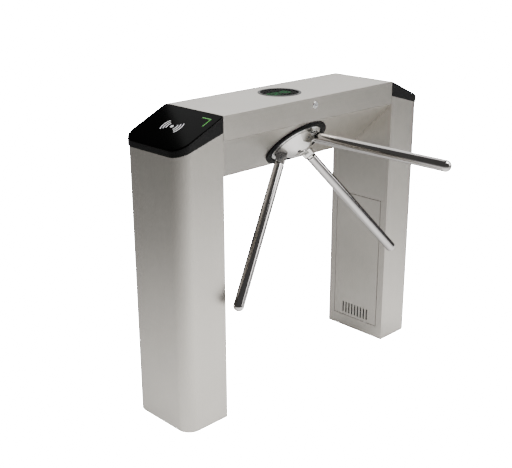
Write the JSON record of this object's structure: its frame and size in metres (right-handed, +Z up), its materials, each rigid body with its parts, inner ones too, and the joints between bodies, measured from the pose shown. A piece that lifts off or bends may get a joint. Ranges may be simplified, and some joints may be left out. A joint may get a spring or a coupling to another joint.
{
  "type": "turnstile",
  "caption": "Bridge-type tripod turnstile for counting museum visitors, with brushed steel columns, sloped black reader caps, a counter display and a drop arm.",
  "frame": {"origin": "On the floor, at the centre of the four outer anchor holes, under the middle of the housing", "axes": "+X along the bridge, -Y towards the lane that the arms close, +Z up"},
  "size_m": [1.125, 0.7737, 0.9812],
  "materials": {
    "brushed_stainless": "vertically brushed stainless steel sheet",
    "zinc_steel": "zinc-plated steel plate",
    "fastener_steel": "bright bolts and nuts",
    "hinge_steel": "stainless piano hinge",
    "shaft_steel": "ground and turned steel",
    "bearing_steel": "bright bearing steel",
    "polished_tube": "mirror-polished stainless tube",
    "lock_chrome": "chromed key lock",
    "hub_metal": "spun and polished disc",
    "carrier_metal": "machined casting, satin",
    "cast_aluminium": "cast aluminium, as cast",
    "gear_brass": "cut brass gear",
    "black_satin": "satin black moulding",
    "black_gloss": "gloss black acrylic",
    "smoked_window": "smoked clear acrylic",
    "green_light": "lit green",
    "reader_plastic": "moulded reader housing",
    "circuit_board": "green circuit board and parts",
    "solenoid_steel": "zinc frame and wound coil",
    "power_case": "pressed aluminium case",
    "white_print": "white screen print",
    "black_rubber": "black rubber grommet"
  },
  "bodies": {
    "housing": {"column_left": "brushed_stainless", "column_right": "brushed_stainless", "base_plates": "zinc_steel", "cable_grommets": "black_rubber", "cap_left": "black_satin", "cap_right": "black_satin", "panel_left": "black_gloss", "panel_right": "black_gloss", "pointer_lights": "green_light", "card_symbols": "white_print", "card_readers": "reader_plastic", "bridge_body": "brushed_stainless", "bridge_end_plates": "zinc_steel", "housing_fasteners": "fastener_steel", "hinge_leaf": "hinge_steel", "hinge_pin": "hinge_steel", "mechanism_plate": "zinc_steel", "bearing_housing": "cast_aluminium", "bearing_outer_races": "bearing_steel", "trim_ring": "black_satin", "damper_body": "cast_aluminium", "rear_bracket": "zinc_steel", "bracket_posts": "shaft_steel", "solenoids": "solenoid_steel", "encoder_sensor": "black_satin", "control_board": "circuit_board", "power_supply": "power_case", "door_fittings": "zinc_steel"},
    "lid": {"lid": "brushed_stainless", "hinge_flap": "hinge_steel", "display_bezel": "black_satin", "display_window": "smoked_window", "display_board": "circuit_board", "display_digits": "green_light", "lock_barrel": "lock_chrome"},
    "lock": {"lock_plug": "lock_chrome", "lock_cam": "zinc_steel"},
    "rotor": {"main_shaft": "shaft_steel", "hub_plate": "hub_metal", "arm_carrier": "carrier_metal", "hub_screws": "fastener_steel", "hub_cap": "carrier_metal", "arm_left": "polished_tube", "arm_right": "polished_tube", "side_knuckles": "carrier_metal", "arm_pins": "shaft_steel", "bearing_inner_races": "bearing_steel", "damper_gear": "gear_brass", "locking_wheel": "shaft_steel", "encoder_disc": "black_satin"},
    "front_arm": {"arm_front": "polished_tube", "front_knuckle": "carrier_metal"},
    "damper_rotor": {"damper_pinion": "shaft_steel"},
    "pawl_a": {"pawl_left": "shaft_steel"},
    "pawl_b": {"pawl_right": "shaft_steel"},
    "plunger_a": {"plunger_left": "shaft_steel"},
    "plunger_b": {"plunger_right": "shaft_steel"},
    "door_a": {"access_door_left": "brushed_stainless"},
    "door_b": {"access_door_right": "brushed_stainless"}
  },
  "joints": [
    {"name": "rotor_spin", "type": "hinge", "parent": "housing", "child": "rotor", "pos_m": [0, -0.04621, 0.82021], "axis": [0, -0.7071, -0.7071], "continuous": true},
    {"name": "arm_drop", "type": "hinge", "parent": "rotor", "child": "front_arm", "pos_m": [0, -0.11925, 0.85217], "axis": [1, 0, 0], "range_deg": [0, 90]},
    {"name": "damper_spin", "type": "hinge", "parent": "housing", "child": "damper_rotor", "pos_m": [0, 0.0786, 0.84955], "axis": [0, -0.7071, -0.7071], "continuous": true},
    {"name": "pawl_left_swing", "type": "hinge", "parent": "housing", "child": "pawl_a", "pos_m": [-0.046, 0.07046, 0.87465], "axis": [0, 0.7071, 0.7071], "range_deg": [0, 10], "stiffness_Nm_per_rad": 0.3, "springref_deg": -17.19},
    {"name": "pawl_right_swing", "type": "hinge", "parent": "housing", "child": "pawl_b", "pos_m": [0.046, 0.07046, 0.87465], "axis": [0, -0.7071, -0.7071], "range_deg": [0, 10], "stiffness_Nm_per_rad": 0.3, "springref_deg": -17.19},
    {"name": "plunger_left_slide", "type": "slide", "parent": "housing", "child": "plunger_a", "axis": [0, -0.7071, 0.7071], "range_m": [0, 0.0081]},
    {"name": "plunger_right_slide", "type": "slide", "parent": "housing", "child": "plunger_b", "axis": [0, -0.7071, 0.7071], "range_m": [0, 0.0081]},
    {"name": "lid_hinge", "type": "hinge", "parent": "housing", "child": "lid", "pos_m": [0, 0.125, 0.975], "axis": [-1, 0, 0], "range_deg": [0, 85]},
    {"name": "lock_turn", "type": "hinge", "parent": "lid", "child": "lock", "pos_m": [0, -0.12, 0.9556], "axis": [0, 1, 0], "range_deg": [0, 90]},
    {"name": "door_left_hinge", "type": "hinge", "parent": "housing", "child": "door_a", "pos_m": [-0.3985, 0.094, 0.295], "axis": [0, 0, 1], "range_deg": [0, 100]},
    {"name": "door_right_hinge", "type": "hinge", "parent": "housing", "child": "door_b", "pos_m": [0.3985, 0.094, 0.295], "axis": [0, 0, -1], "range_deg": [0, 100]}
  ],
  "couplings": [
    {"joint": "damper_spin", "follows": "rotor_spin", "ratio": -4},
    {"joint": "plunger_left_slide", "follows": "pawl_left_swing", "m_per_rad": 0.045767},
    {"joint": "plunger_right_slide", "follows": "pawl_right_swing", "m_per_rad": 0.045767}
  ]
}
